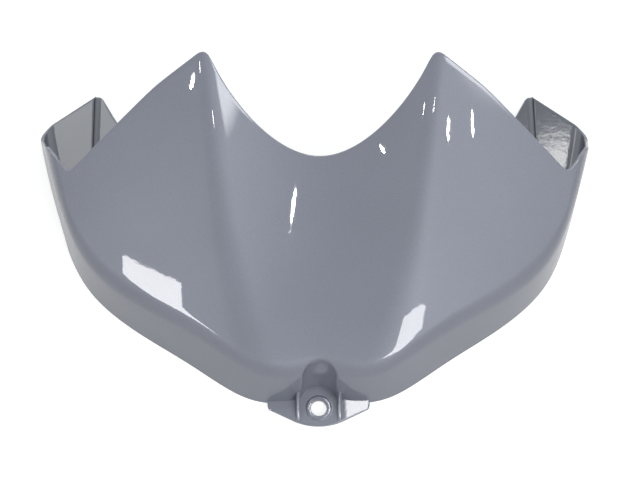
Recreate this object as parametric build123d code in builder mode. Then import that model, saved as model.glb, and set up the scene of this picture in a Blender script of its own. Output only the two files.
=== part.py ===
# Front cover of a motorcycle fuel tank: one moulded shell with two ridges, a rear notch,
# turned-under wings and a bolt pocket at its nose.
# Millimetres. X is across the bike, -Y is the nose, +Z is up along the bolt.
# The origin is the centre of the bolt hole, in the flat plane that the rim stands on.
import os
from math import cos, radians, sqrt, tan

from build123d import *

os.makedirs("parts", exist_ok=True)

# Moulding
wall = 2.8

# Skirt in plan at its rim: half width, distance from the bolt, and draft of the wall there
nose_y = 7.5
nose_draft = 16
rim = [
    (38, 5.5, 17),
    (83, 29, 15),
    (128.5, 58.5, 12),
    (156.5, 83, 9),
    (174, 111, 6),
    (190, 155, 5),
    (201, 200, 5),
    (208, 250, 5),
]
skirt_top = 170
skirt_bottom = -80

# Top surface, one row for each station along the bike:
# distance from the bolt, ridge half width, ridge height, valley height, panel height at panel_end
panel_end = 235
stations = [
    (-40, 30, 12, 10.5, -60),
    (30, 47.5, 50, 47, -20),
    (90, 62, 80, 71, 13),
    (150, 70, 112.5, 98.5, 46),
    (250, 79.5, 163, 139.5, 96),
]
panel_bulge = 6
panel_rise = 1.12
ridge_round = 9
shoulder_round = 13

# Underside: flat below the wings, then dropping away towards the nose
wing_round = 12
belly_front = 126
belly_slope = 50
belly_round = 30

# Rear edge seen from above: notch, peaks, a line down to each shoulder, and out to each wing
notch_y = 149
notch_floor = 30
notch_flank = (62, 180)
peak = (75, 207)
peak_round = 6
kink = (109, 188.5)
kink_round = 40
shoulder = (171.5, 148.5)
shoulder_corner_round = 5
mouth = (185.5, 163)
mouth_round = 6

# Rear edge of each wing: half width and height of its corners, and their distance from the bolt
panel_floor = 45
mouth_z = 71
wall_foot = (199.3, 7)
wall_foot_y = 200
tuck_corner = (198, 2)
tuck_corner_y = 208.5
wing_edge_round = 20
tuck_edge_x = 161
tuck_tip_y = 236

# Joggled flange along the inner edge of each tuck
joggle_run = 2.6
joggle_rise = wall
flange_tip_x = 157
flange_tip_y = 233.5
flange_bend_x = 148.5
flange_bend_y = 218
flange_edge_x = 144
flange_end_y = 211

# Bolt tab and pocket
hole_diameter = 11
seat_diameter = 17
seat_height = 0.8
pocket_radius = 12.9
pocket_back_y = 15.5
pocket_lean = 10
pocket_draft = 1
pocket_height = 70
cheek_height = 13
cheek_nose = 0.8
tab_front_y = -12.5
tab_corner_y = -9.5
ear_root = 36
ear_tip = (34.5, -0.5)
ear_round = 1.5

far = 400
wing_plane = Plane(origin=(0, 0, 0), x_dir=(0, 1, 0), z_dir=(1, 0, -1))


def across(x, z):
    """Distance of a point of the right wing from the middle, seen square to its rounded corner."""
    return (x + z) / sqrt(2)


def inward(index):
    """Unit vector in plan that points from a rim point into the cover."""
    before = rim[max(index - 1, 0)]
    after = rim[min(index + 1, len(rim) - 1)]
    along = Vector(after[0] - before[0], after[1] - before[1]).normalized()
    return Vector(-along.Y, along.X)


def skirt_outline(height, inset):
    """Points of the skirt at a height, moved in by its draft and by the inset."""
    nose = nose_y + inset / cos(radians(nose_draft)) + height * tan(radians(nose_draft))
    half = []
    for index, (x, y, draft) in enumerate(rim):
        step = inset / cos(radians(draft)) + height * tan(radians(draft))
        moved = Vector(x, y) + inward(index) * step
        half.append((moved.X, moved.Y))
    return [(-x, y) for x, y in reversed(half)] + [(0, nose)] + half


def under_top(inset):
    """Solid below the panels, ridges and valley."""
    with BuildPart() as block:
        for y, ridge_x, ridge_z, valley_z, end_z in stations:
            middle_x = (ridge_x + panel_end) / 2
            middle_z = (ridge_z + end_z) / 2 + panel_bulge
            with BuildSketch(Plane.XZ.offset(-y)):
                with BuildLine():
                    ThreePointArc((-ridge_x, ridge_z), (0, valley_z), (ridge_x, ridge_z))
                    ThreePointArc((ridge_x, ridge_z), (middle_x, middle_z), (panel_end, end_z))
                    Polyline((panel_end, end_z), (panel_end, -far), (-panel_end, -far), (-panel_end, end_z))
                    ThreePointArc((-panel_end, end_z), (-middle_x, middle_z), (-ridge_x, ridge_z))
                make_face()
                offset(amount=-inset * panel_rise, mode=Mode.REPLACE)
        loft()
        ridges = edges().filter_by(lambda edge: edge.length > far / 2 and (edge @ 0.5).Z > 0)
        fillet(ridges.sort_by(lambda edge: abs((edge @ 0.5).X))[0:2], ridge_round - inset)
    return block.part


def body(inset):
    """Outer form of the cover at inset 0, or the space inside it at an inset of one wall."""
    top = under_top(inset)
    with BuildPart() as block:
        for height in (skirt_bottom, skirt_top):
            with BuildSketch(Plane.XY.offset(height)):
                with BuildLine():
                    outline = Spline(*skirt_outline(height, inset))
                    Line(outline @ 0, outline @ 1)
                make_face()
        loft(ruled=True)
        with BuildSketch(Plane.YZ):
            with BuildLine():
                drop = (belly_front + far) * tan(radians(belly_slope))
                Polyline((far, inset), (belly_front, inset), (-far, inset - drop), (-far, far), (far, far), close=True)
            make_face()
            fillet(vertices().sort_by_distance((belly_front, inset))[0], belly_round)
        extrude(amount=far, both=True, mode=Mode.INTERSECT)
        underside = faces().filter_by(lambda face: face.normal_at().Z < -0.5)
        lower = underside.edges().filter_by(lambda edge: (edge @ 0.5).Y < rim[-1][1] - 1)
        fillet(lower.filter_by(lambda edge: edge.bounding_box().size.Y > 1), wing_round - inset)
        add(top, mode=Mode.INTERSECT)
        walls = faces().filter_by(GeomType.BSPLINE).sort_by(SortBy.AREA)[-1]
        crease = walls.edges().filter_by(lambda edge: (edge @ 0.5).Z > 2 * wing_round)
        fillet(crease.filter_by(lambda edge: (edge @ 0.5).Y < rim[-1][1] - 1), shoulder_round - inset)
    return block.part


def pocket(radius, floor):
    """Leaning, slightly conical slot that opens to the nose, rising from a floor."""
    with BuildPart() as block:
        for level in (floor, pocket_height):
            width = radius + level * tan(radians(pocket_draft))
            centre_y = pocket_back_y - pocket_radius + level * tan(radians(pocket_lean))
            with BuildSketch(Plane.XY.offset(level)):
                with Locations((0, centre_y)):
                    Circle(width)
                with Locations((0, (centre_y - far) / 2)):
                    Rectangle(2 * width, centre_y + far)
        loft(ruled=True)
    return block.part


outer = body(0)
inner = body(wall)
scoop = pocket(pocket_radius, wall)

# Wall of the pocket: under the outer form behind the skirt, with two falling cheeks in front of it
with BuildPart() as pocket_wall:
    add(outer)
    with BuildSketch(Plane.YZ):
        with BuildLine():
            Polyline(
                (tab_corner_y, 0),
                (tab_corner_y, wall + cheek_nose),
                (nose_y, cheek_height),
                (pocket_back_y, cheek_height),
                (pocket_back_y, 0),
                close=True,
            )
        make_face()
    extrude(amount=pocket_radius + wall, both=True)
    add(pocket(pocket_radius + wall, 0), mode=Mode.INTERSECT)

# Cut for the rear edge. Seen from above it follows the notch, the peaks and the panels. On the
# wings it is one profile, drawn square to their rounded corner, from the mouth to the flange.
with BuildPart() as rear_cut:
    with BuildSketch(wing_plane):
        with BuildLine():
            mouth_top = across(mouth[0], mouth_z)
            Polyline(
                (mouth[1] - mouth_z, far),
                (mouth[1] - mouth_z, mouth_top - mouth_z),
                (mouth[1], mouth_top),
                (wall_foot_y, across(*wall_foot)),
                (tuck_corner_y, across(*tuck_corner)),
                (tuck_tip_y, across(tuck_edge_x, 0)),
                (flange_tip_y, across(flange_tip_x, joggle_rise)),
                (flange_bend_y, across(flange_bend_x, joggle_rise)),
                (flange_end_y, across(flange_edge_x, joggle_rise)),
                (belly_front, across(flange_edge_x, joggle_rise)),
                (belly_front, -far),
                (far, -far),
                (far, far),
                close=True,
            )
        make_face()
        for y in (wall_foot_y, tuck_corner_y):
            fillet(vertices().filter_by(lambda point: abs(point.Y - y) < 0.1), wing_edge_round)
    extrude(amount=far, both=True)
    split(bisect_by=Plane.YZ.offset(peak[0]), keep=Keep.TOP)
    mirror(about=Plane.YZ)
    with Locations((0, far, 0)):
        Box(2 * kink[0], 2 * far, 2 * far)
    for half_width, floor in ((shoulder[0] + shoulder_corner_round, panel_floor), (mouth[0], mouth_z)):
        with Locations((0, far, floor)):
            Box(2 * half_width, 2 * far, far, align=(Align.CENTER, Align.CENTER, Align.MIN))
    with BuildSketch():
        with BuildLine():
            Bezier(peak, notch_flank, (notch_floor, notch_y), (0, notch_y))
            Polyline((0, notch_y), (0, far), (far, far), (far, mouth[1]), mouth, shoulder, kink, peak)
        make_face()
        fillet(vertices().sort_by_distance(peak)[0], peak_round)
        fillet(vertices().sort_by_distance(kink)[0], kink_round)
        fillet(vertices().sort_by_distance(shoulder)[0], shoulder_corner_round)
        fillet(vertices().sort_by_distance(mouth)[0], mouth_round)
        mirror(about=Plane.YZ)
    extrude(amount=far, mode=Mode.INTERSECT)

with BuildPart() as tank_cover:
    add(outer)
    add(inner, mode=Mode.SUBTRACT)

    # Rim plane, and the opening between the tucks
    with BuildSketch():
        Rectangle(2 * far, 2 * far)
    extrude(amount=-far, mode=Mode.SUBTRACT)
    with BuildSketch():
        with Locations((0, belly_front)):
            Rectangle(2 * tuck_edge_x, far, align=(Align.CENTER, Align.MIN))
            Rectangle(2 * tuck_edge_x, 2 * wall, align=(Align.CENTER, Align.MAX))
    extrude(amount=wall, mode=Mode.SUBTRACT)

    # Joggle and flange along each tuck, one wall higher than it
    with BuildSketch(Plane.XZ.offset(-tuck_tip_y)):
        with BuildLine():
            Polyline(
                (tuck_edge_x, 0),
                (tuck_edge_x - joggle_run, joggle_rise),
                (flange_edge_x, joggle_rise),
                (flange_edge_x, joggle_rise + wall),
                (tuck_edge_x - joggle_run, joggle_rise + wall),
                (tuck_edge_x, wall),
                close=True,
            )
        make_face()
        mirror(about=Plane.YZ)
    extrude(amount=tuck_tip_y - belly_front)
    add(rear_cut, mode=Mode.SUBTRACT)

    # Tab and ears: a flat plate in the rim plane, in front of the skirt
    with BuildSketch():
        with BuildLine():
            ThreePointArc(
                (-pocket_radius - wall, tab_corner_y), (0, tab_front_y), (pocket_radius + wall, tab_corner_y)
            )
            Polyline(
                (pocket_radius + wall, tab_corner_y),
                ear_tip,
                (ear_root, nose_y + wall),
                (-ear_root, nose_y + wall),
                (-ear_tip[0], ear_tip[1]),
                (-pocket_radius - wall, tab_corner_y),
            )
        make_face()
        tips = vertices().filter_by(lambda point: abs(abs(point.X) - ear_tip[0]) < 1 and abs(point.Y - ear_tip[1]) < 1)
        fillet(tips, ear_round)
    extrude(amount=wall)

    # Pocket: back and cheeks one wall thick, kept inside the skirt behind and low in front of it
    add(pocket_wall)
    add(scoop, mode=Mode.SUBTRACT)

    # Raised seat round the bolt hole
    with BuildSketch(Plane.XY.offset(wall)):
        Circle(seat_diameter / 2)
    extrude(amount=seat_height)
    Hole(hole_diameter / 2)

tank_cover.part.label = "tank_cover"
export_step(tank_cover.part, "parts/tank_cover.step")
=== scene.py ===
# %% [markdown]
# This scene dresses the front cover of a motorcycle tank: one thin moulded shell in gloss grey paint.
# The CAD solid is loaded first and stays where it is; the pieces made here take over its looks.
# Everything keeps the part's own frame: the bolt hole's centre is the origin, X runs across,
# -Y points to the nose and Z is up. Blender counts in metres, the sizes below in millimetres.

# %% Load the frame
import math
import bpy
import bmesh
import numpy as np
from mathutils import Matrix, Quaternion, Vector


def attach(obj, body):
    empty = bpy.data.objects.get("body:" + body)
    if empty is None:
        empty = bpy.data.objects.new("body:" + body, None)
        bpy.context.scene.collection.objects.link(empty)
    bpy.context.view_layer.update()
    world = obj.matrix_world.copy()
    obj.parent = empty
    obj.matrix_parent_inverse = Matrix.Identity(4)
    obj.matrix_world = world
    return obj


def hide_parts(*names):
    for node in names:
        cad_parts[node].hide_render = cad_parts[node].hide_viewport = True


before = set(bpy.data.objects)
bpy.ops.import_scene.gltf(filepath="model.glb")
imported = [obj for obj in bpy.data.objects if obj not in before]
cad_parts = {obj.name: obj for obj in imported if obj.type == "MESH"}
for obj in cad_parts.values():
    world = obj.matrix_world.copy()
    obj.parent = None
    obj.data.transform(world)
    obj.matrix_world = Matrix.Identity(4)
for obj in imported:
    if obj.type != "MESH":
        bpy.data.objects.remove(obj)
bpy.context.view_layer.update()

# %% [markdown]
# The shell on the real cover is injection-moulded ABS, about 2.8 mm thick, with two crisp ridges,
# a valley between them and a skirt that turns under at the wings. It could be box-modelled and
# subdivided, but then the ridges, the corners and the rim would only come near their places.
# Here a grid from bmesh is laid on curves through a few measured sizes, and thickened afterwards.

# %% Sizes of the shell
wall = 2.8
nose_y, nose_draft = 7.5, 16
rim = [(38, 5.5, 17), (83, 29, 15), (128.5, 58.5, 12), (156.5, 83, 9),
       (174, 111, 6), (189.7, 155, 5), (200.6, 200, 5), (207.6, 250, 5)]
skirt_bottom, skirt_top = -80, 170
panel_end, panel_bulge, ridge_blend = 235, 6, 5.5
stations = [(-40, 30, 12, 10.5, -60), (30, 47.5, 50, 47, -20), (90, 62, 80, 72.2, 13),
            (150, 70, 112.5, 98.5, 46), (250, 79.5, 163, 139.5, 96)]
mm = 0.001
print("wall", wall, "mm, rim sizes", len(rim), "cross-sections", len(stations))


# %% Smooth curve through a few sizes
def spline(knots, values):
    """Natural cubic curve through values at knots, as a function."""
    knots, values = np.array(knots, float), np.array(values, float)
    gap = np.diff(knots)
    system, load = np.eye(len(knots)), np.zeros_like(values)
    for k in range(1, len(gap)):
        system[k, k - 1:k + 2] = gap[k - 1], 2 * (gap[k - 1] + gap[k]), gap[k]
        load[k] = 6 * ((values[k + 1] - values[k]) / gap[k] - (values[k] - values[k - 1]) / gap[k - 1])
    bend = np.linalg.solve(system, load)

    def at(t):
        k = min(max(int(np.searchsorted(knots, t)) - 1, 0), len(gap) - 1)
        a, b = (knots[k + 1] - t) / gap[k], (t - knots[k]) / gap[k]
        straight = a * values[k] + b * values[k + 1]
        return straight + ((a**3 - a) * bend[k] + (b**3 - b) * bend[k + 1]) * gap[k]**2 / 6

    return at


station_at = spline([row[0] for row in stations], [row[1:] for row in stations])
print("ridge x, ridge z, valley z, panel z at y 110:", station_at(110).round(1))

# %% Height of the panels, ridges and valley
def top(x, y):
    """Height of the cover's top above a spot, with the ridge between valley and panel blended."""
    ridge_x, ridge_z, valley_z, end_z = station_at(y)
    x = abs(x)
    valley = valley_z + (ridge_z - valley_z) * (x / ridge_x)**2
    part = (x - ridge_x) / (panel_end - ridge_x)
    panel = ridge_z + (end_z - ridge_z) * part + 4 * panel_bulge * part * (1 - part)
    return min(valley, panel) - max(ridge_blend - abs(valley - panel), 0)**2 / (4 * ridge_blend)


print("height at y 110 over the valley and the ridge:", [round(float(top(x, 110)), 1) for x in (0, 65)])

# %% Plan of the skirt
def skirt_line(height):
    """Plan of the skirt at a height, as a function that runs from 0, the left end, to 1."""
    half = []
    for index, (x, y, draft) in enumerate(rim):
        before, after = rim[max(index - 1, 0)], rim[min(index + 1, len(rim) - 1)]
        along = Vector((after[0] - before[0], after[1] - before[1])).normalized()
        step = height * math.tan(math.radians(draft))
        half.append((x - along.y * step, y + along.x * step))
    nose = (0, nose_y + height * math.tan(math.radians(nose_draft)))
    line = [(-x, y) for x, y in reversed(half)] + [nose] + half
    chords = np.concatenate([[0], np.cumsum(np.linalg.norm(np.diff(np.array(line), axis=0), axis=1))])
    return spline(chords / chords[-1], line)


low_line, high_line = skirt_line(skirt_bottom), skirt_line(skirt_top)


def wall_at(t, z):
    """Plan point of the skirt at a height."""
    share = (z - skirt_bottom) / (skirt_top - skirt_bottom)
    return low_line(t) * (1 - share) + high_line(t) * share


print("nose at", wall_at(0.5, 0).round(1), "wing end at", wall_at(1, 0).round(1))

# %% Lengths along the rim
rim_t = np.linspace(0.5, 1, 801)
rim_points = np.array([wall_at(t, 0) for t in rim_t])
rim_length = np.concatenate([[0], np.cumsum(np.linalg.norm(np.diff(rim_points, axis=0), axis=1))])
beside = rim_points[:, 0] > 60


def t_at_length(length):
    return np.interp(length, rim_length, rim_t)


def t_at_y(y):
    return np.interp(y, rim_points[beside, 1], rim_t[beside])


print("half of the rim is", round(float(rim_length[-1])), "mm long")

# %% [markdown]
# The rear edge on the real cover swoops from a notch over the valley up to a peak on each ridge,
# runs down the panel to a shoulder and opens into the wing's mouth. A boolean cut would leave
# ragged faces along it. Instead the edge is drawn once as a path with small rounded corners, and
# each column of the grid starts from a point on that path, so the edge stays clean.

# %% Rear edge
def curve(a, b, c, d, s):
    """Point at a share of a curve that leaves a towards b and comes into d from c."""
    return (1 - s)**3 * a + 3 * s * (1 - s)**2 * b + 3 * s * s * (1 - s) * c + s**3 * d


def rounded(before, corner, after, reach, count=9):
    """Points of a rounded corner that starts and ends at a reach from it."""
    before, corner, after = (np.array(p, float) for p in (before, corner, after))
    start = corner + (before - corner) / np.linalg.norm(before - corner) * reach
    end = corner + (after - corner) / np.linalg.norm(after - corner) * reach
    return [(1 - s)**2 * start + 2 * s * (1 - s) * corner + s * s * end for s in np.linspace(0, 1, count)]


notch_y, notch_floor, notch_flank = 148.2, 30, (62, 179.5)
peak, kink, shoulder, mouth = (75, 206.4), (109, 187.8), (169.4, 145), (183, 159.9)
notch = np.array([(0, notch_y), (notch_floor, notch_y), notch_flank, peak])
flank = [curve(*notch, s) for s in np.linspace(0, 0.94, 60)]
peak_arc = rounded(notch_flank, peak, kink, 6)
kink_arc = rounded(peak, kink, shoulder, 8)
shoulder_arc = rounded(kink, shoulder, mouth, 5)
valley_path = flank + peak_arc[:5]
panel_path = peak_arc[4:] + kink_arc + shoulder_arc[:5]
wing_path = shoulder_arc[4:]
print("points on the rear edge:", len(valley_path), len(panel_path), len(wing_path))


# %% Columns of the sheet
def along(path, share):
    """Point at a share of a path's length."""
    path = np.array(path)
    length = np.concatenate([[0], np.cumsum(np.linalg.norm(np.diff(path, axis=0), axis=1))])
    spot = share * length[-1]
    return np.array([np.interp(spot, length, path[:, 0]), np.interp(spot, length, path[:, 1])])


valley_columns, panel_columns, wing_columns = 44, 84, 46
last_column = valley_columns + panel_columns + wing_columns
ridge_length, wing_y = 42.0, 110.0
top_y, foot_y, low_y = 156.5, 194.8, 211.6
wing_length = np.interp(wing_y, rim_points[beside, 1], rim_length[beside])


def column(c):
    """Rear point of a column, and where it meets the skirt at its top, foot and bottom."""
    if c <= valley_columns:
        t = t_at_length(ridge_length * c / valley_columns)
        return along(valley_path, c / valley_columns), t, t, t
    if c <= valley_columns + panel_columns:
        share = (c - valley_columns) / panel_columns
        t = t_at_length(ridge_length + (wing_length - ridge_length) * share)
        return along(panel_path, share), t, t, t
    share = (c - valley_columns - panel_columns) / wing_columns
    ys = [wing_y + (y - wing_y) * share for y in (top_y, foot_y, low_y)]
    return along(wing_path, 1 - (1 - share)**2), *(t_at_y(y) for y in ys)


print("columns on each side:", last_column)

# %% Rows of the sheet
top_rows, bend_rows, wall_rows, foot_rows = 60, 10, 16, 12
last_row = top_rows + bend_rows + wall_rows + foot_rows
wing_round, belly_start, belly_round, belly_limit = 12, 140, 30, 24
shoulder_columns, shoulder_reach = [0, 60, 128, 174], [8, 8.5, 11, 13]
start_reach, start_limit, bend_pull = 0.92, 0.62, 0.6
wall_ease, foot_ease = 1.08, 1.25


def crest_height(t):
    """Height at which the skirt would meet the top, by halving."""
    low, high = 5.0, 150.0
    for _ in range(40):
        middle = (low + high) / 2
        if top(*wall_at(t, middle)) > middle:
            low = middle
        else:
            high = middle
    return low


print("the skirt meets the top at", round(crest_height(0.5), 1), "mm over the nose")


# %% Foot of the skirt
def foot_of(t_foot, t_low):
    """Points of the skirt's last stretch: straight, then turned under where the cover has a wing."""
    back = min(max(belly_start - wall_at(t_low, 0)[1], 0), belly_limit)
    centre = max(wing_round - (belly_round - math.sqrt(belly_round**2 - back**2)), 0)
    sweep = math.asin(min(centre / wing_round, 1))
    straight, arc = wing_round - centre, wing_round * sweep
    points = []
    for s in np.linspace(0, 1, foot_rows + 1)[1:]:
        run = s * (straight + arc)
        t = t_foot + (t_low - t_foot) * (1 - (1 - s)**foot_ease)
        z, inset = wing_round - run, 0
        if run > straight:
            angle = (run - straight) / wing_round
            z, inset = centre - wing_round * math.sin(angle), wing_round * (1 - math.cos(angle))
        tangent = wall_at(t + 1e-4, 0) - wall_at(t - 1e-4, 0)
        inward = np.array([-tangent[1], tangent[0]]) / np.linalg.norm(tangent)
        points.append(np.array([*(wall_at(t, z) + inward * inset), z]))
    return points


print("the wing's foot ends at", foot_of(t_at_y(foot_y), t_at_y(low_y))[-1].round(1))


# %% One column
def section(c):
    """Points of one column, from the rear edge over the shoulder and down to the rim."""
    rear, t_top, t_foot, t_low = column(abs(c))
    low = crest_height(t_top)
    crest = np.array([*wall_at(t_top, low), low])
    span = rear - crest[:2]
    reach = np.interp(abs(c), shoulder_columns, shoulder_reach)
    span_length = np.linalg.norm(span)
    start = crest[:2] + span / span_length * min(reach * start_reach, start_limit * span_length)
    start = np.array([*start, top(*start)])
    drop_z = low - reach

    def wall_point(z):
        t = t_top + (t_foot - t_top) * min((low - z) / (low - wing_round), 1)**wall_ease
        return np.array([*wall_at(t, z), z])

    end = wall_point(drop_z)
    points = []
    for s in np.linspace(0, 1, top_rows + 1):
        spot = rear + (start[:2] - rear) * s
        points.append(np.array([*spot, top(*spot)]))
    a, b = start + (crest - start) * bend_pull, end + (crest - end) * bend_pull
    for s in np.linspace(0, 1, bend_rows + 1)[1:]:
        points.append(curve(start, a, b, end, s))
    for z in np.linspace(drop_z, wing_round, wall_rows + 1)[1:]:
        points.append(wall_point(z))
    points = np.array(points + foot_of(t_foot, t_low))
    points[:, 0] *= -1 if c < 0 else 1
    return points


print("a column has", len(section(0)), "points")

# %% The sheet between its columns
sections = {}


def section_of(c):
    """Cached section of a whole column."""
    if c not in sections:
        sections[c] = section(c)
    return sections[c]


def surface(c, r):
    """Point of the sheet at a column and a row that need not be whole."""
    left, k = math.floor(c), min(int(r), last_row - 1)
    near = section_of(left)
    first = near[k] * (1 - (r - k)) + near[k + 1] * (r - k)
    if c == left:
        return first
    far = section_of(left + 1)
    second = far[k] * (1 - (r - k)) + far[k + 1] * (r - k)
    return first * (1 - (c - left)) + second * (c - left)


print("the sheet half a column from the middle:", surface(0.5, 20.5).round(1))


# %% A grid laid on a rule
def grid(mesh, across, down, place):
    """Adds a grid whose vertices are put by place(i, j); returns the vertices."""
    made = bmesh.ops.create_grid(mesh, x_segments=across, y_segments=down, size=0.5)["verts"]
    for vert in made:
        i, j = round((vert.co.x + 0.5) * across), round((vert.co.y + 0.5) * down)
        vert.co = Vector(place(i, j)) * mm
    return made


print("rows of the sheet:", last_row)

# %% [markdown]
# The pocket is a round-backed slot in the nose that gives a screwdriver room over the bolt. On the
# mould it is a core, so its edge is rounded and its walls lean a little. A boolean and a bevel would
# leave slivers there, so the nose is left out of the sheet and filled with its own grid that runs
# from the sheet's border over the rounded edge and down the slot's wall to the tab.

# %% Pocket slot
pocket_radius, pocket_back_y, pocket_lean, pocket_draft = 12.9, 15.5, 10, 1


def slot_centre(z):
    return pocket_back_y - pocket_radius + z * math.tan(math.radians(pocket_lean))


def slot_radius(z):
    return pocket_radius + z * math.tan(math.radians(pocket_draft))


def slot_gap(point):
    """How far a point lies outside the slot."""
    x, y, z = point
    behind = y - slot_centre(z)
    return (abs(x) if behind < 0 else math.hypot(x, behind)) - slot_radius(z)


print("slot width at z 0 and 40:", [round(2 * slot_radius(z), 1) for z in (0, 40)])

# %% Border round the nose
nose_columns = 30
nose_row = top_rows - 6
heart_row = last_row - foot_rows - 8
border = [(-nose_columns, r) for r in range(last_row, nose_row, -1)]
border += [(c, nose_row) for c in range(-nose_columns, nose_columns)]
border += [(nose_columns, r) for r in range(nose_row, last_row + 1)]


def heart_of(spot):
    """Where the line from a border spot to the slot's middle starts."""
    return (0, max(spot[1], heart_row)) if abs(spot[0]) == nose_columns else (0, heart_row)


def towards(spot, share):
    """Point of the sheet at a share of the way from the slot's middle to a border spot."""
    heart = heart_of(spot)
    return surface(heart[0] + (spot[0] - heart[0]) * share, heart[1] + (spot[1] - heart[1]) * share)


def mouth_share(spot):
    """Share of that way at which the slot's edge lies."""
    near, far = 0.0, 1.0
    for _ in range(26):
        middle = (near + far) / 2
        if slot_gap(towards(spot, middle)) < 0:
            near = middle
        else:
            far = middle
    return near


print("spots on the border:", len(border))

# %% Rounded edge and wall of the slot
edge_round, ring_ease, slot_foot = 1.3, 1.3, 1.4
shares = [mouth_share(spot) for spot in border]
slot_edge = np.array([towards(spot, share) for spot, share in zip(border, shares)])
ring_steps, curl_steps, fall_steps = 9, 6, 10


def slot_wall(point, level):
    """The point's place on the slot's wall, at a level."""
    x, y, z = point
    behind = y - slot_centre(z)
    if behind < 0:
        return np.array([math.copysign(slot_radius(level), x), y, level])
    scale = slot_radius(level) / math.hypot(x, behind)
    return np.array([x * scale, slot_centre(level) + behind * scale, level])


def nose_point(i, j):
    """Vertex of the nose: i round the slot, j from the border over the slot's edge and down to the tab."""
    spot, share, edge = border[i], shares[i], slot_edge[i]
    away = np.array(towards(spot, 1)) - edge
    start_share = share + (1 - share) * edge_round / np.linalg.norm(away)
    if j <= ring_steps:
        part = (1 - j / ring_steps)**ring_ease
        return towards(spot, start_share + (1 - start_share) * part)
    ahead = slot_edge[min(i + 1, len(border) - 1)] - slot_edge[max(i - 1, 0)]
    behind = edge[1] - slot_centre(edge[2])
    axis_way = np.array([-edge[0], -max(behind, 0), 0])
    inwards = np.cross(ahead, axis_way)
    inwards *= edge_round / np.linalg.norm(inwards)
    if inwards[1] < 0 and inwards[2] > 0:
        inwards = -inwards
    end = edge + inwards
    end = slot_wall(end, max(end[2], 0))
    if j <= ring_steps + curl_steps:
        s = (j - ring_steps) / curl_steps
        start = towards(spot, start_share)
        a, b = start + (edge - start) * bend_pull, end + (edge - end) * bend_pull
        return curve(start, a, b, end, s)
    foot = min(end[2], slot_foot)
    return slot_wall(end, end[2] + (foot - end[2]) * (j - ring_steps - curl_steps) / fall_steps)


print("the slot's edge is highest at z", round(float(slot_edge[:, 2].max()), 1))

# %% [markdown]
# Each wing turns under into a flat tuck, and its inner strip steps up by one wall to clip behind the
# side cover. It could be extruded from the rim edge by edge. One more grid per wing is quicker to
# read: it starts on the foot's last row, so both share their border and merge into one sheet.

# %% Tuck of each wing
tuck_start_y, tuck_end_y, joggle_x, joggle_run = 137, 234.8, 161.2, 3.8
first_wing = valley_columns + panel_columns + 1
tuck_first = next(c for c in range(first_wing, last_column) if column(c)[3] >= t_at_y(tuck_start_y))
flange_ys = [(144, 211), (148.5, 218), (157, 232.8), (161, 235.2), (400, 235.2)]
flange_xs = [161.6, 161, 160.4, 159.8, 159.2, 158.6, 158, 157.4, 156.2, 153.9, 151.3, 148.5, 146.2, 144]
tuck_rows = 12


def tuck_point(i, j, side_sign):
    """Vertex of a tuck: i backwards along the wing, j inwards from the turned edge."""
    c = tuck_first + i
    base = section_of(c)[-1]
    share = i / (last_column - tuck_first)
    first_y = section_of(tuck_first)[-1][1]
    if j <= tuck_rows:
        inner = np.array([flange_xs[0], first_y + (tuck_end_y - first_y) * share])
        spot = base[:2] + (inner - base[:2]) * j / tuck_rows
        return (side_sign * spot[0], spot[1], 0)
    x = flange_xs[j - tuck_rows]
    end_y = np.interp(x, [p[0] for p in flange_ys], [p[1] for p in flange_ys])
    lift = min(max((joggle_x - x) / joggle_run, 0), 1)
    return (side_sign * x, first_y + (end_y - first_y) * share, wall * lift * lift * (3 - 2 * lift))


print("the tuck takes", last_column - tuck_first, "columns")

# %% Join the sheet
merge = 0.000001
mesh = bmesh.new()
sheet = bmesh.ops.create_grid(mesh, x_segments=2 * last_column, y_segments=last_row, size=0.5)["verts"]
hidden = []
for vert in sheet:
    c = round((vert.co.x + 0.5) * 2 * last_column) - last_column
    r = round((vert.co.y + 0.5) * last_row)
    if abs(c) < nose_columns and r > nose_row:
        hidden.append(vert)
    vert.co = Vector(section_of(c)[r]) * mm
bmesh.ops.delete(mesh, geom=hidden, context="VERTS")
grid(mesh, len(border) - 1, ring_steps + curl_steps + fall_steps, nose_point)
for side_sign in (-1, 1):
    grid(mesh, last_column - tuck_first, tuck_rows + len(flange_xs) - 1,
         lambda i, j: tuck_point(i, j, side_sign))
bmesh.ops.remove_doubles(mesh, verts=mesh.verts, dist=merge)
bmesh.ops.recalc_face_normals(mesh, faces=mesh.faces)
top_face = max(mesh.faces, key=lambda face: face.calc_center_median().z)
if top_face.normal.z < 0:
    bmesh.ops.reverse_faces(mesh, faces=mesh.faces)
print("faces of the outer sheet:", len(mesh.faces))

# %% [markdown]
# The lip of a moulded part is never sharp: the steel leaves a radius of about a millimetre.
# Solidify gives an even wall but a square edge, and its corners fold where the sheet turns fast.
# So the sheet is duplicated and set inwards along its own normals, and the border is extruded
# round a small arc, ring by ring, until it meets the inner sheet and merges with it.

# %% Direction out of the sheet along its border
lip_round = 0.8
mesh.normal_update()
outer_verts, outer_edges, outer_faces = list(mesh.verts), list(mesh.edges), list(mesh.faces)
normal = {vert: vert.normal.copy() for vert in outer_verts}
border_edges = [line for line in outer_edges if len(line.link_faces) == 1]
next_to = {}
for line in border_edges:
    for vert in line.verts:
        next_to.setdefault(vert, []).append(line.other_vert(vert))
outwards = {vert: Vector() for vert in next_to}
for line in border_edges:
    loop = line.link_loops[0]
    ahead = (line.other_vert(loop.vert).co - loop.vert.co).normalized()
    for vert in line.verts:
        outwards[vert] += ahead.cross(normal[vert])
outwards = {vert: way.normalized() for vert, way in outwards.items()}
for _ in range(4):
    beside_it = {vert: sum((outwards[near] for near in next_to[vert]), Vector()) for vert in outwards}
    outwards = {vert: (way * 2 + beside_it[vert]).normalized() for vert, way in outwards.items()}
print("border vertices:", len(outwards))

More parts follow.
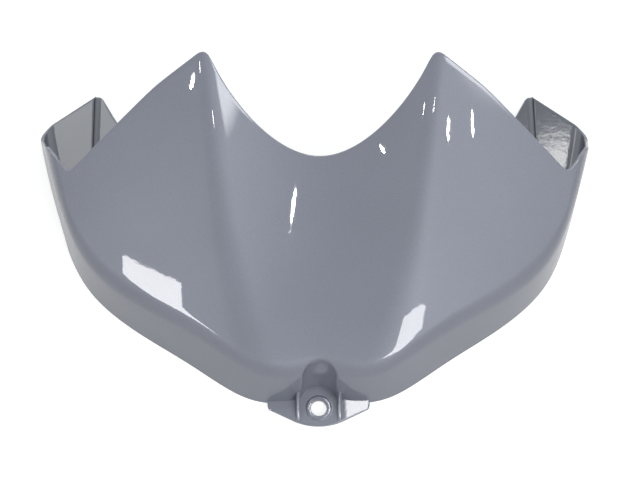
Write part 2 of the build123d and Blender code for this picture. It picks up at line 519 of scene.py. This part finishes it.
# %% Inner sheet
copied = bmesh.ops.duplicate(mesh, geom=outer_verts + outer_edges + outer_faces)
inner_faces = [item for item in copied["geom"] if isinstance(item, bmesh.types.BMFace)]
for vert in outer_verts:
    copied["vert_map"][vert].co = vert.co - normal[vert] * wall * mm
bmesh.ops.reverse_faces(mesh, faces=inner_faces)
# the inner faces take the inside material, whose darker grey is painted shade
for face in inner_faces:
    face.material_index = 1
print("inner faces:", len(inner_faces))

# %% Rounded lip
turns = [math.radians(a) for a in (22.5, 45, 67.5, 90)]
lip = [(lip_round * math.sin(a), lip_round * (1 - math.cos(a))) for a in turns]
lip += [(lip_round * math.cos(a), wall - lip_round * (1 - math.sin(a))) for a in [0] + turns]
source = {vert: vert for vert in next_to}
place = {vert: vert.co.copy() for vert in next_to}
ring = border_edges
for reach, depth in lip:
    made = bmesh.ops.extrude_edge_only(mesh, edges=ring)["geom"]
    ring = [item for item in made if isinstance(item, bmesh.types.BMEdge)]
    fresh = {item for item in made if isinstance(item, bmesh.types.BMVert)}
    ring = [line for line in ring if line.verts[0] in fresh and line.verts[1] in fresh]
    following = {}
    for vert in fresh:
        old = next(line.other_vert(vert) for line in vert.link_edges if line.other_vert(vert) in source)
        following[vert] = source[old]
    for vert, first in following.items():
        vert.co = place[first] + (outwards[first] * reach - normal[first] * depth) * mm
    source = following
bmesh.ops.remove_doubles(mesh, verts=mesh.verts, dist=merge)
bmesh.ops.recalc_face_normals(mesh, faces=mesh.faces)
print("rings round the lip:", len(lip))

# %% The shell as a piece
for vert in mesh.verts:
    vert.co.z = max(vert.co.z, 0)
for face in mesh.faces:
    face.smooth = True
print("open edges", sum(1 for line in mesh.edges if len(line.link_faces) != 2), "faces", len(mesh.faces))
shell_mesh = bpy.data.meshes.new("cover_shell")
mesh.to_mesh(shell_mesh)
mesh.free()
shell = bpy.data.objects.new("cover_shell", shell_mesh)
bpy.context.scene.collection.objects.link(shell)
print("shell", len(shell_mesh.vertices), len(shell_mesh.polygons))

# %% [markdown]
# The tab under the pocket carries the bolt: a flat tongue with a raised round seat and two thin
# ears that lie behind the skirt. It could be an extruded outline with booleans. A round grid about
# the hole is chosen instead: each ring of it follows the hole, the seat or the outline, so the
# hole, the seat and every edge get their small radii without a single cut.

# %% Outline of the tab
hole_radius, seat_radius, tab_top, seat_top = 5.5, 8.5, 2.8, 3.6
tab_front_y, tab_corner_y, tab_half, ear_root = -12.5, -9.5, 15.7, 36
back_half, back_round = 14.8, 15.2
ear_tip = [(35.2, 1.6), (34.9, 0.3), (34.1, -0.7)]
tab_front = [(x, tab_front_y + (tab_corner_y - tab_front_y) * (x / tab_half)**2)
             for x in np.linspace(-tab_half, tab_half, 25)]
tab_rear = [(x, max(nose_y + wall, slot_centre(0) + math.sqrt(back_round**2 - x * x)))
            for x in np.linspace(back_half, -back_half, 25)]
tab_outline = tab_front + ear_tip[::-1] + [(ear_root, nose_y + wall)] + tab_rear
tab_outline += [(-ear_root, nose_y + wall)] + [(-x, y) for x, y in ear_tip]


def outline_radius(angle):
    """Distance from the hole's centre to the tab's outline, at an angle."""
    dx, dy = math.cos(angle), math.sin(angle)
    best = 0
    for (ax, ay), (bx, by) in zip(tab_outline, tab_outline[1:] + tab_outline[:1]):
        cross = dx * (by - ay) - dy * (bx - ax)
        if abs(cross) > 1e-9:
            t = (ax * (by - ay) - ay * (bx - ax)) / cross
            s = (ax * dy - ay * dx) / cross
            if t > 0 and -1e-9 <= s <= 1 + 1e-9:
                best = max(best, t)
    return best


print("the tab reaches", round(float(outline_radius(0)), 1), "mm to the side")

# %% Rings of the tab
corners = [math.atan2(y, x) % (2 * math.pi) for x, y in tab_outline]
angles = sorted({round(a, 4) for a in [2 * math.pi * k / 160 for k in range(161)] + corners})
in_hole = [(0, hole_radius, 0.3), (0, hole_radius, 3.2), (0, hole_radius + 0.1, 3.45),
           (0, hole_radius + 0.4, seat_top)]
over_seat = [(0, seat_radius - 0.5, seat_top), (0, seat_radius - 0.15, 3.5), (0, seat_radius, 3.25),
             (0, seat_radius + 0.1, 2.95), (0, seat_radius + 0.4, tab_top), (0, seat_radius + 0.8, tab_top)]
round_edge = [(1, -1.4, tab_top), (1, -0.9, tab_top), (1, -0.45, 2.7), (1, -0.12, 2.45), (1, 0, 2.1), (1, 0, 0.4)]
below = [(1, -0.4, 0), (0, hole_radius + 0.3, 0), (0, hole_radius, 0.3)]
rings = in_hole + over_seat + round_edge + below
radii = [outline_radius(a) for a in angles]


def tab_point(i, j):
    """Vertex of the tab: i round the hole, j along the rings."""
    outer, offset, z = rings[j]
    r = radii[i % (len(angles) - 1)] * outer + offset
    a = angles[i % (len(angles) - 1)]
    return (r * math.cos(a), r * math.sin(a), z)


mesh = bmesh.new()
grid(mesh, len(angles) - 1, len(rings) - 1, tab_point)
print("faces of the tab:", len(mesh.faces))

# %% Two cheeks from the skirt down to the tab
cheek_front_y, cheek_back_y, cheek_low, cheek_nose, cheek_top, cheek_round = -9.3, 13.0, 1.0, 3.6, 13.0, 0.8
for side_sign in (-1, 1):
    made = bmesh.ops.create_cube(mesh, size=1)["verts"]
    for vert in made:
        x = pocket_radius + 0.1 + (wall - 0.2) * (vert.co.x * side_sign + 0.5)
        y = cheek_front_y if vert.co.y < 0 else cheek_back_y
        z = cheek_low if vert.co.z < 0 else (cheek_nose if vert.co.y < 0 else cheek_top)
        vert.co = Vector((x * side_sign, y, z)) * mm
    faces = {face for vert in made for face in vert.link_faces}
    edges = {e for face in faces for e in face.edges}
    cuts = bmesh.ops.bisect_plane(mesh, geom=list(made) + list(edges) + list(faces),
                                  plane_co=Vector((0, nose_y, 0)) * mm, plane_no=(0, 1, 0))
    for vert in cuts["geom_cut"]:
        if isinstance(vert, bmesh.types.BMVert) and vert.co.z > cheek_nose * mm:
            vert.co.z = cheek_top * mm
    long_edges = {e for vert in made if vert.is_valid for e in vert.link_edges}
    long_edges |= {e for g in cuts["geom_cut"] if isinstance(g, bmesh.types.BMVert) for e in g.link_edges}
    sharp = [e for e in long_edges if e.calc_face_angle(0) > 0.6]
    bmesh.ops.bevel(mesh, geom=sharp, offset=cheek_round * mm, segments=3, profile=0.5, affect="EDGES",
                    material=-1)
bmesh.ops.remove_doubles(mesh, verts=mesh.verts, dist=0.00001)
bmesh.ops.recalc_face_normals(mesh, faces=mesh.faces)
print("faces with the cheeks:", len(mesh.faces))

# %% The tab as a piece
for face in mesh.faces:
    face.smooth = True
tab_mesh = bpy.data.meshes.new("bolt_tab")
mesh.to_mesh(tab_mesh)
mesh.free()
tab = bpy.data.objects.new("bolt_tab", tab_mesh)
tab.modifiers.new("even_normals", "WEIGHTED_NORMAL")
bpy.context.scene.collection.objects.link(tab)
print("tab", len(tab_mesh.polygons))
for piece in (shell, tab):
    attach(piece, "root")
    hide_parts("tank_cover")
print("the two pieces replace the look of tank_cover")

# %% [markdown]
# The camera looks down steeply on the cover, a few degrees from its middle and slightly rolled. It
# could be placed by eye, but then no edge would fit; instead its angles and distance were fitted to
# the outline in the photograph. The lens follows from how many pixels a millimetre takes, and a
# small shift centres the frame.

# %% Camera
photo_size = (636, 477)
target = Vector((0.0, 0.110, 0.050))
azimuth, elevation, roll = (math.radians(a) for a in (5.199, 70.359, 4.775))
distance, pixels_per_mm = 1.0904, 1.4585
centre_px = (318.72, 235.20)

back = Vector((-math.sin(azimuth) * math.cos(elevation),
               -math.cos(azimuth) * math.cos(elevation), math.sin(elevation)))
ahead = -back
side = ahead.cross(Vector((0, 0, 1))).normalized()
over = side.cross(ahead)
right = math.cos(roll) * side + math.sin(roll) * over
up = -math.sin(roll) * side + math.cos(roll) * over

camera_data = bpy.data.cameras.new("camera")
camera = bpy.data.objects.new("camera", camera_data)
bpy.context.scene.collection.objects.link(camera)
bpy.context.scene.camera = camera
spin = Matrix((right, up, back)).transposed().to_4x4()
spin.translation = target + back * distance
camera.matrix_world = spin
camera_data.sensor_width = 36
camera_data.lens = 36 * pixels_per_mm * distance * 1000 / photo_size[0]
camera_data.shift_x = (photo_size[0] / 2 - centre_px[0]) / photo_size[0]
camera_data.shift_y = (centre_px[1] - photo_size[1] / 2) / photo_size[0]
print("lens", camera_data.lens)

# %% [markdown]
# The photograph was taken in a white studio with two softboxes in front, softer light from behind
# and a few small bulbs.
# A clear coat shows each lamp as a mirror would, so the lamps are placed from their reflections.
# The room and the floor are plain white to the camera through Light Path, while the light that
# reaches the paint stays at a level at which a colour looks about as it is written.

# %% Helpers for colours and nodes
bpy.context.scene.view_settings.view_transform = "Standard"


def linear(text):
    """Linear colour of an sRGB hex code."""
    channels = [int(text[k:k + 2], 16) / 255 for k in (0, 2, 4)]
    return tuple(c / 12.92 if c <= 0.04045 else ((c + 0.055) / 1.055)**2.4 for c in channels) + (1,)


def node(tree, kind, inputs=None, links=None, **settings):
    """Adds a node with its settings, constant inputs and links."""
    made = tree.nodes.new(kind)
    for key, value in settings.items():
        setattr(made, key, value)
    for key, value in (inputs or {}).items():
        made.inputs[key].default_value = value
    for key, socket in (links or {}).items():
        tree.links.new(socket, made.inputs[key])
    return made


print("mid grey 808080 is", [round(c, 3) for c in linear("808080")[:3]])

# %% Room
world = bpy.data.worlds.new("studio")
bpy.context.scene.world = world
world.use_nodes = True
tree = world.node_tree
tree.nodes.clear()
coordinates = node(tree, "ShaderNodeTexCoord")
axes = node(tree, "ShaderNodeSeparateXYZ", links={"Vector": coordinates.outputs["Generated"]})
sideways = node(tree, "ShaderNodeMapRange", {"From Min": -0.8, "From Max": 0.8, "To Min": 1.0, "To Max": 1.1},
                {"Value": axes.outputs["X"]}, interpolation_type="SMOOTHSTEP")
upwards = node(tree, "ShaderNodeMapRange", {"From Min": 0.6, "From Max": 0.93, "To Min": 1.0, "To Max": 0.55},
               {"Value": axes.outputs["Z"]}, interpolation_type="SMOOTHSTEP")
backwards = node(tree, "ShaderNodeMapRange", {"From Min": -0.1, "From Max": 0.6, "To Min": 1.0, "To Max": 2.0},
                 {"Value": axes.outputs["Y"]}, interpolation_type="SMOOTHSTEP")
across_up = node(tree, "ShaderNodeMath", {}, {0: sideways.outputs["Result"], 1: upwards.outputs["Result"]},
                 operation="MULTIPLY")
whole = node(tree, "ShaderNodeMath", {}, {0: across_up.outputs[0], 1: backwards.outputs["Result"]},
             operation="MULTIPLY")
print("nodes of the room's light:", len(tree.nodes))

# %% Two soft glows in the room
# one lies over the right panel, the other draws the streak beside the left ridge
facing = node(tree, "ShaderNodeVectorMath", {1: (0.43, -0.36, 0.83)}, {0: coordinates.outputs["Generated"]},
              operation="DOT_PRODUCT")
patch = node(tree, "ShaderNodeMapRange", {"From Min": 0.955, "From Max": 1.0, "To Min": 0.0, "To Max": 0.35},
             {"Value": facing.outputs["Value"]}, interpolation_type="SMOOTHSTEP")
aside = node(tree, "ShaderNodeVectorMath", {1: (0.66, -0.27, 0.70)}, {0: coordinates.outputs["Generated"]},
             operation="DOT_PRODUCT")
streak = node(tree, "ShaderNodeMapRange", {"From Min": 0.984, "From Max": 0.997, "To Min": 0.0, "To Max": 12.0},
              {"Value": aside.outputs["Value"]}, interpolation_type="SMOOTHSTEP")
glows = node(tree, "ShaderNodeMath", {}, {0: patch.outputs["Result"], 1: streak.outputs["Result"]},
             operation="ADD")
strength = node(tree, "ShaderNodeMath", {}, {0: whole.outputs[0], 1: glows.outputs[0]}, operation="ADD")
print("nodes with the glows:", len(tree.nodes))

# %% White to the camera, plain light to the paint
paint_level, mirror_level = 0.48, 0.8
path = node(tree, "ShaderNodeLightPath")
clear = node(tree, "ShaderNodeMath", {},
             {0: path.outputs["Is Glossy Ray"], 1: path.outputs["Is Transmission Ray"]}, operation="MAXIMUM")
plain = node(tree, "ShaderNodeMapRange", {"To Min": paint_level, "To Max": mirror_level},
             {"Value": clear.outputs[0]})
level = node(tree, "ShaderNodeMath", {}, {0: strength.outputs[0], 1: plain.outputs["Result"]},
             operation="MULTIPLY")
room = node(tree, "ShaderNodeBackground", {"Color": linear("FBFDFF")}, {"Strength": level.outputs[0]})
white = node(tree, "ShaderNodeBackground", {"Color": linear("FFFFFF"), "Strength": 1.0})
mixed = node(tree, "ShaderNodeMixShader", {},
             {0: path.outputs["Is Camera Ray"], 1: room.outputs[0], 2: white.outputs[0]})
node(tree, "ShaderNodeOutputWorld", links={"Surface": mixed.outputs[0]})
print("nodes in the room:", len(tree.nodes))

# %% White paper floor
bpy.ops.mesh.primitive_plane_add(size=8, location=(0, 0, -0.0005))
floor = bpy.context.object
floor.name = "floor"
floor_paint = bpy.data.materials.new("white_paper")
floor_paint.use_nodes = True
floor.data.materials.append(floor_paint)
tree = floor_paint.node_tree
tree.nodes.clear()
paper = node(tree, "ShaderNodeBsdfDiffuse", {"Color": linear("B4B4B4")})
glow = node(tree, "ShaderNodeEmission", {"Color": linear("FFFFFF"), "Strength": 0.72})
seen = node(tree, "ShaderNodeLightPath")
clear = node(tree, "ShaderNodeMath", {},
             {0: seen.outputs["Is Glossy Ray"], 1: seen.outputs["Is Transmission Ray"]}, operation="MAXIMUM")
soft = node(tree, "ShaderNodeMath", {1: 0.45}, {0: clear.outputs[0]}, operation="MULTIPLY")
shown = node(tree, "ShaderNodeMath", {}, {0: seen.outputs["Is Camera Ray"], 1: soft.outputs[0]},
             operation="MAXIMUM")
shine = node(tree, "ShaderNodeMixShader", {}, {0: shown.outputs[0], 2: glow.outputs[0]})
both = node(tree, "ShaderNodeAddShader", {}, {0: paper.outputs[0], 1: shine.outputs[0]})
node(tree, "ShaderNodeOutputMaterial", links={"Surface": both.outputs[0]})
print("floor", tuple(round(v, 2) for v in floor.dimensions))


# %% A lamp placed by its reflection
def lamp(name, spot, azimuth, elevation, distance, size, radiance, shape="RECTANGLE", roll=0):
    """Lamp seen from a spot (mm) in a direction (degrees), facing the spot."""
    az, el = math.radians(azimuth), math.radians(elevation)
    way = Vector((math.sin(az) * math.cos(el), -math.cos(az) * math.cos(el), math.sin(el)))
    data = bpy.data.lights.new(name, "AREA")
    data.shape = shape
    data.size, data.size_y = size
    data.energy = radiance * math.pi * size[0] * size[1]
    thing = bpy.data.objects.new(name, data)
    bpy.context.scene.collection.objects.link(thing)
    thing.location = Vector(spot) * mm + way * distance
    facing = (-way).to_track_quat("-Z", "Y") @ Quaternion((0, 0, 1), math.radians(roll))
    thing.rotation_euler = facing.to_euler()
    return thing


# %% Softboxes
lamp("softbox_left", (-112, 75, 57), -42.3, 30.9, 1.2, (0.199, 0.273), 14, roll=31)
lamp("softbox_right", (60, 42, 55), 26.6, 37.0, 1.2, (0.393, 0.38), 11.5, roll=-32.5)
overhead = [("softbox_rear", (0.221, 0.36, 1.5), (0.26, 0.2), 16), ("strip_rear", (0.475, 0.80, 1.5), (0.06, 0.07), 24),
            ("fill_rear", (-0.40, 0.88, 1.5), (0.5, 0.5), 4)]
for name, spot, size, radiance in overhead:
    hung = lamp(name, (0, 0, 0), 0, 90, 1.5, size, radiance)
    hung.location, hung.rotation_euler = spot, (0, 0, 0)
print("softboxes", len(bpy.data.lights))

# %% Small bulbs
lamp("bulb_a", (-20, 119, 85.6), 20.7, 60.9, 1.3, (0.018, 0.042), 90, "ELLIPSE", -12)
lamp("bulb_b", (41, 152, 104), -39.6, 57.1, 1.3, (0.018, 0.04), 80, "ELLIPSE", -15)
lamp("bulb_c", (-83.4, 188.6, 130), -48.8, 47.1, 1.3, (0.016, 0.036), 80, "ELLIPSE", 15)
lamp("bulb_d", (84, 160.5, 115), 49.3, 42.3, 1.3, (0.008, 0.060), 90, "ELLIPSE", -45)
lamp("bulb_e", (100.5, 166.3, 113), 53.4, 40.2, 1.3, (0.008, 0.060), 90, "ELLIPSE", -45)
print("lamps", len(bpy.data.lights))

# %% [markdown]
# The finish of the real cover is a two-layer car paint on ABS: a grey base sprayed with a little
# fine metal flake, and a clear coat over it that is polished by its own flow. The base gives the
# eye a soft, even grey; the coat gives sharp lamp reflections that ripple a little, as orange peel.
# A plain glossy colour would look like plastic, so the flake, the drift of the spray and the peel
# are each drawn by a texture on Object coordinates, which keeps them still on the piece.

# %% Sprayed paint with a clear coat
flake_mm, cloud_mm, peel_mm = 0.4, 60, 4.2


def sprayed_paint(name, colour, coat_roughness, peel):
    """Grey base coat with fine flake under a clear coat with a light orange peel."""
    made = bpy.data.materials.new(name)
    made.use_nodes = True
    tree = made.node_tree
    shader = tree.nodes["Principled BSDF"]
    place = node(tree, "ShaderNodeTexCoord")
    here = {"Vector": place.outputs["Object"]}
    # a flake is some 0.05 mm wide: it is drawn coarser, because one so fine wouldn't show
    flakes = node(tree, "ShaderNodeTexVoronoi", {"Scale": 1000 / flake_mm}, here)
    shade = node(tree, "ShaderNodeSeparateColor", {}, {"Color": flakes.outputs["Color"]})
    level = node(tree, "ShaderNodeMapRange", {"To Min": 0.94, "To Max": 1.06}, {"Value": shade.outputs["Red"]})
    # the spray lies a little thicker here and there, in clouds some 60 mm wide
    cloud = node(tree, "ShaderNodeTexNoise", {"Scale": 1000 / cloud_mm, "Detail": 2.0}, here)
    drift = node(tree, "ShaderNodeMapRange", {"From Min": 0.3, "From Max": 0.7, "To Min": 0.97, "To Max": 1.03},
                 {"Value": cloud.outputs["Fac"]})
    both = node(tree, "ShaderNodeMath", {}, {0: level.outputs["Result"], 1: drift.outputs["Result"]},
                operation="MULTIPLY")
    tint = node(tree, "ShaderNodeVectorMath", {0: linear(colour)[:3]}, {"Scale": both.outputs[0]},
                operation="SCALE")
    tree.links.new(tint.outputs["Vector"], shader.inputs["Base Color"])
    # orange peel swells and sinks every few millimetres
    waves = node(tree, "ShaderNodeTexNoise", {"Scale": 1000 / peel_mm, "Detail": 1.0}, here)
    bump = node(tree, "ShaderNodeBump", {"Strength": peel, "Distance": 0.0001}, {"Height": waves.outputs["Fac"]})
    tree.links.new(bump.outputs["Normal"], shader.inputs["Coat Normal"])
    settings = {"Roughness": 0.46, "Metallic": 0.2, "Coat Weight": 1.0, "Coat Roughness": coat_roughness}
    for key, value in settings.items():
        shader.inputs[key].default_value = value
    print(name, "colour", colour, "nodes", len(tree.nodes))
    return made


# %% [markdown]
# The outside gets the full finish. The inside is seen in the wings' mouths: the mould leaves it
# smooth, and only overspray reaches it, so it is rougher in its gloss and more rippled. Its grey is
# also darker, and that darker grey is painted shade for the shade that falls under the shell.

# %% Outside and inside of the cover
gloss_grey_paint = sprayed_paint("gloss_grey_paint", "727682", coat_roughness=0.02, peel=0.05)
# the inside's darker grey 4C515B is painted shade under the shell and in the wings' mouths; its rougher coat and
# stronger peel are its own finish
grey_inside_painted_shade = sprayed_paint("grey_inside_painted_shade", "4C515B", coat_roughness=0.1, peel=0.3)
for piece in (shell, tab):
    piece.data.materials.append(gloss_grey_paint)
shell.data.materials.append(grey_inside_painted_shade)
